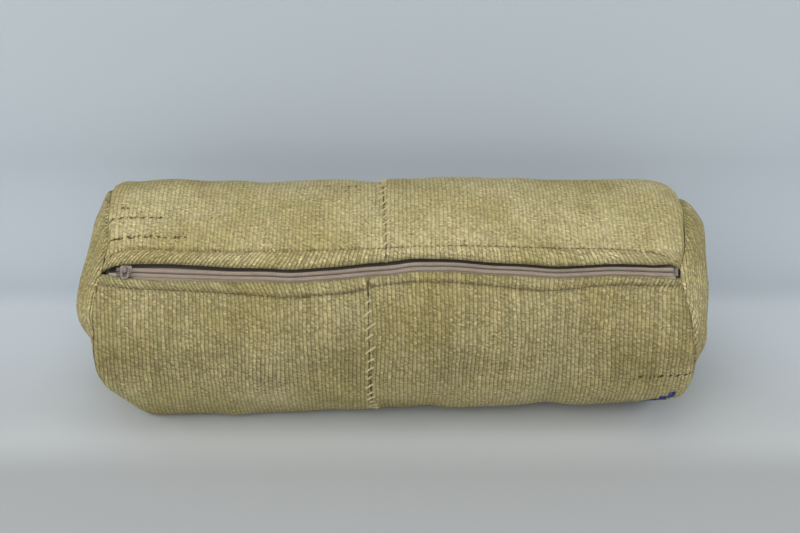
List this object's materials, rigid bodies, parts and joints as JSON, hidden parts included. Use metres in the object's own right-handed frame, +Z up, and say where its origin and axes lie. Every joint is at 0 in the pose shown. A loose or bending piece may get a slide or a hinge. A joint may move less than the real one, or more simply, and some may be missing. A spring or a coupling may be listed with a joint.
{
  "type": "bolster pillow",
  "caption": "Round bolster pillow with a zipped flat-woven cover, puffed round ends, a hand-joined centre seam and a stuffed inner cushion.",
  "frame": {"origin": "middle of the length and width, on the surface that the bolster lies on", "axes": "+X along the bolster toward the open end of the zip, -Y toward the side with the zip, +Z up"},
  "size_m": [0.478, 0.1836, 0.1638],
  "materials": {
    "kilim": "weft-faced flat weave of straw-coloured wool and hemp",
    "kilim_end": "the same weave, laid on the bias and drawn over the ends",
    "hand_thread": "coarse undyed thread",
    "sewing_thread": "machine thread, dull",
    "zip_tape": "fine ribbed polyester tape, taupe",
    "zip_coil": "nylon coil, slightly shiny",
    "slider_paint": "satin taupe paint with worn edges",
    "stop_metal": "crimped clips, satin",
    "insert_cotton": "plain white cotton",
    "fibre": "polyester fibre"
  },
  "bodies": {
    "cover": {"body_panel_left": "kilim", "body_panel_right": "kilim", "end_panel_left": "kilim_end", "end_panel_right": "kilim_end", "centre_seam_thread": "hand_thread", "end_seam_thread_left": "sewing_thread", "end_seam_thread_right": "sewing_thread", "topstitch_upper": "sewing_thread", "topstitch_lower": "sewing_thread", "zip_tape_upper": "zip_tape", "zip_tape_lower": "zip_tape", "zip_coil_upper": "zip_coil", "zip_coil_lower": "zip_coil", "top_stop_upper": "stop_metal", "top_stop_lower": "stop_metal", "bottom_stop": "stop_metal", "insert_casing_tube": "insert_cotton", "insert_end_left": "insert_cotton", "insert_end_right": "insert_cotton", "insert_closing_stitch": "sewing_thread", "insert_filling": "fibre"},
    "slider": {"slider_body": "slider_paint"},
    "pull": {"slider_pull": "slider_paint"}
  },
  "joints": [
    {"name": "slider_slide", "type": "slide", "parent": "cover", "child": "slider", "axis": [1, 0, 0], "range_m": [0, 0.3862]},
    {"name": "pull_hinge", "type": "hinge", "parent": "slider", "child": "pull", "pos_m": [-0.1895, -0.07107, 0.13334], "axis": [-1, 0, 0], "range_deg": [0, 150]}
  ]
}
